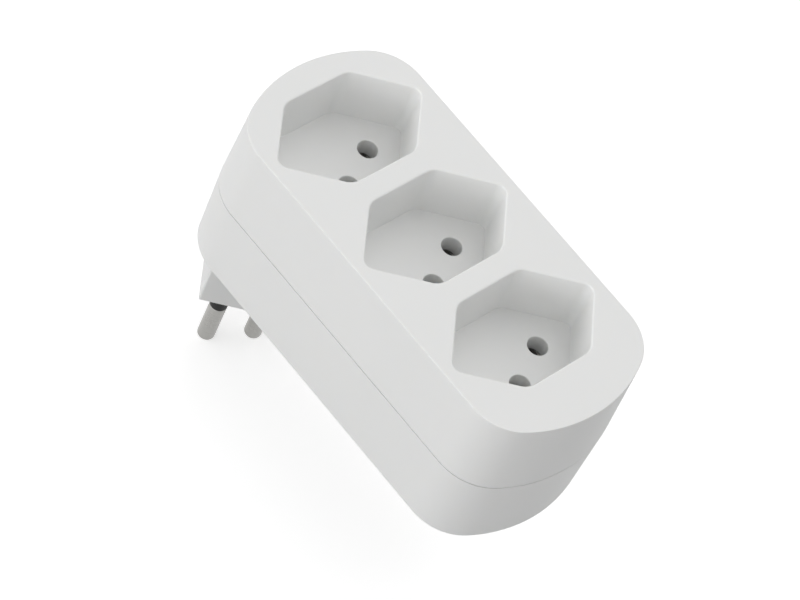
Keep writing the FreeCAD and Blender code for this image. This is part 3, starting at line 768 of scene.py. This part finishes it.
def add_floor(looks):
    """A painted studio floor that looks white and keeps the shadow. It is clear from below."""
    mesh = bmesh.new()
    corners = [mesh.verts.new((along * FLOOR_REACH, across * FLOOR_REACH, CAD_LOW.z))
               for along, across in ((-1, -1), (1, -1), (1, 1), (-1, 1))]
    mesh.faces.new(corners)
    data = bpy.data.meshes.new("studio_floor")
    mesh.to_mesh(data)
    mesh.free()
    floor = bpy.data.objects.new("studio_floor", data)
    bpy.context.scene.collection.objects.link(floor)
    material = bpy.data.materials.new("painted_studio_floor")
    material.use_nodes = True
    tree = material.node_tree
    tree.nodes.clear()
    place = add_node(tree, "ShaderNodeTexCoord")
    # Roller marks in matt paint, about 40 mm wide
    roller = add_node(tree, "ShaderNodeTexNoise", {"Scale": repeats(40), "Detail": 1.0},
                      {"Vector": place.outputs["Object"]})
    tones = add_node(tree, "ShaderNodeMix", {"data_type": "RGBA"}, {"Factor": roller.outputs["Fac"]})
    tones.inputs["A"].default_value = (*looks.floor, 1)
    tones.inputs["B"].default_value = (*(0.985 * part for part in looks.floor), 1)
    matt = add_node(tree, "ShaderNodeBsdfDiffuse", None, {"Color": tones.outputs["Result"]})
    dim = add_node(tree, "ShaderNodeBsdfDiffuse", {"Color": (*looks.floor_dim, 1)})
    glow = add_node(tree, "ShaderNodeEmission", {"Strength": looks.floor_glow})
    lifted = add_node(tree, "ShaderNodeAddShader")
    tree.links.new(matt.outputs[0], lifted.inputs[0])
    tree.links.new(glow.outputs[0], lifted.inputs[1])
    bright = add_node(tree, "ShaderNodeMixShader", None, {"Fac": seen_directly(tree)})
    tree.links.new(dim.outputs[0], bright.inputs[1])
    tree.links.new(lifted.outputs[0], bright.inputs[2])
    clear = add_node(tree, "ShaderNodeBsdfTransparent")
    side = add_node(tree, "ShaderNodeNewGeometry")
    both = add_node(tree, "ShaderNodeMixShader", None, {"Fac": side.outputs["Backfacing"]})
    tree.links.new(bright.outputs[0], both.inputs[1])
    tree.links.new(clear.outputs[0], both.inputs[2])
    add_node(tree, "ShaderNodeOutputMaterial", None, {"Surface": both.outputs[0]})
    data.materials.append(material)


def add_world(looks):
    """Even studio light that looks white to the camera and in reflections."""
    world = bpy.data.worlds.new("studio")
    world.use_nodes = True
    tree = world.node_tree
    tree.nodes.clear()
    light = add_node(tree, "ShaderNodeBackground", {"Color": (1, 1, 1, 1), "Strength": looks.ambient})
    white = add_node(tree, "ShaderNodeBackground", {"Color": (1, 1, 1, 1), "Strength": 1.0})
    both = add_node(tree, "ShaderNodeMixShader", None, {"Fac": seen_directly(tree)})
    tree.links.new(light.outputs[0], both.inputs[1])
    tree.links.new(white.outputs[0], both.inputs[2])
    add_node(tree, "ShaderNodeOutputWorld", None, {"Surface": both.outputs[0]})
    bpy.context.scene.world = world


def add_softbox(name, target, offset, size, power):
    lamp = bpy.data.lights.new(name, "AREA")
    lamp.shape = "RECTANGLE"
    lamp.size, lamp.size_y = size
    lamp.energy = power
    box = bpy.data.objects.new(name, lamp)
    box.location = target + Vector(offset)
    box.rotation_mode = "QUATERNION"
    box.rotation_quaternion = (-Vector(offset)).to_track_quat("-Z", "Y")
    bpy.context.scene.collection.objects.link(box)


def add_camera():
    """The photograph's own angle, fitted to the corners of the recesses and the body."""
    data = bpy.data.cameras.new("camera")
    data.sensor_width, data.lens = CAMERA_SENSOR, CAMERA_LENS
    data.clip_start, data.clip_end = CAMERA_CLIP
    camera = bpy.data.objects.new("camera", data)
    camera.location = CAMERA_PLACE
    camera.rotation_mode = "QUATERNION"
    camera.rotation_quaternion = CAMERA_TURN
    bpy.context.scene.collection.objects.link(camera)
    bpy.context.scene.camera = camera


OPERATORS = (ADAPTER_OT_front_housing, ADAPTER_OT_rear_housing, ADAPTER_OT_pins, ADAPTER_OT_sleeves,
             ADAPTER_OT_metal_inside, ADAPTER_OT_screws, ADAPTER_OT_stage)


class ADAPTER_PT_panel(bpy.types.Panel):
    """Lists the pieces and the settings of the adapter"""
    bl_idname = "ADAPTER_PT_panel"
    bl_label = "Socket adapter"
    bl_space_type = "VIEW_3D"
    bl_region_type = "UI"
    bl_category = "Adapter"

    def draw(self, context):
        for operator in OPERATORS:
            self.layout.operator(operator.bl_idname)
        scene = context.scene
        for group in (scene.adapter_housing, scene.adapter_pins, scene.adapter_screws, scene.adapter_stage):
            box = self.layout.box()
            for name in group.__annotations__:
                box.prop(group, name)


CLASSES = (HousingLooks, PinLooks, ScrewLooks, StageLooks, *OPERATORS, ADAPTER_PT_panel)


def register():
    for entry in CLASSES:
        bpy.utils.register_class(entry)
    bpy.types.Scene.adapter_housing = bpy.props.PointerProperty(type=HousingLooks)
    bpy.types.Scene.adapter_pins = bpy.props.PointerProperty(type=PinLooks)
    bpy.types.Scene.adapter_screws = bpy.props.PointerProperty(type=ScrewLooks)
    bpy.types.Scene.adapter_stage = bpy.props.PointerProperty(type=StageLooks)


def unregister():
    del bpy.types.Scene.adapter_stage
    del bpy.types.Scene.adapter_screws
    del bpy.types.Scene.adapter_pins
    del bpy.types.Scene.adapter_housing
    for entry in reversed(CLASSES):
        bpy.utils.unregister_class(entry)


def main():
    register()
    bpy.ops.adapter.front_housing()
    bpy.ops.adapter.rear_housing()
    bpy.ops.adapter.pins()
    bpy.ops.adapter.sleeves()
    bpy.ops.adapter.metal_inside()
    bpy.ops.adapter.screws()
    bpy.ops.adapter.stage()


if __name__ == "__main__":
    main()
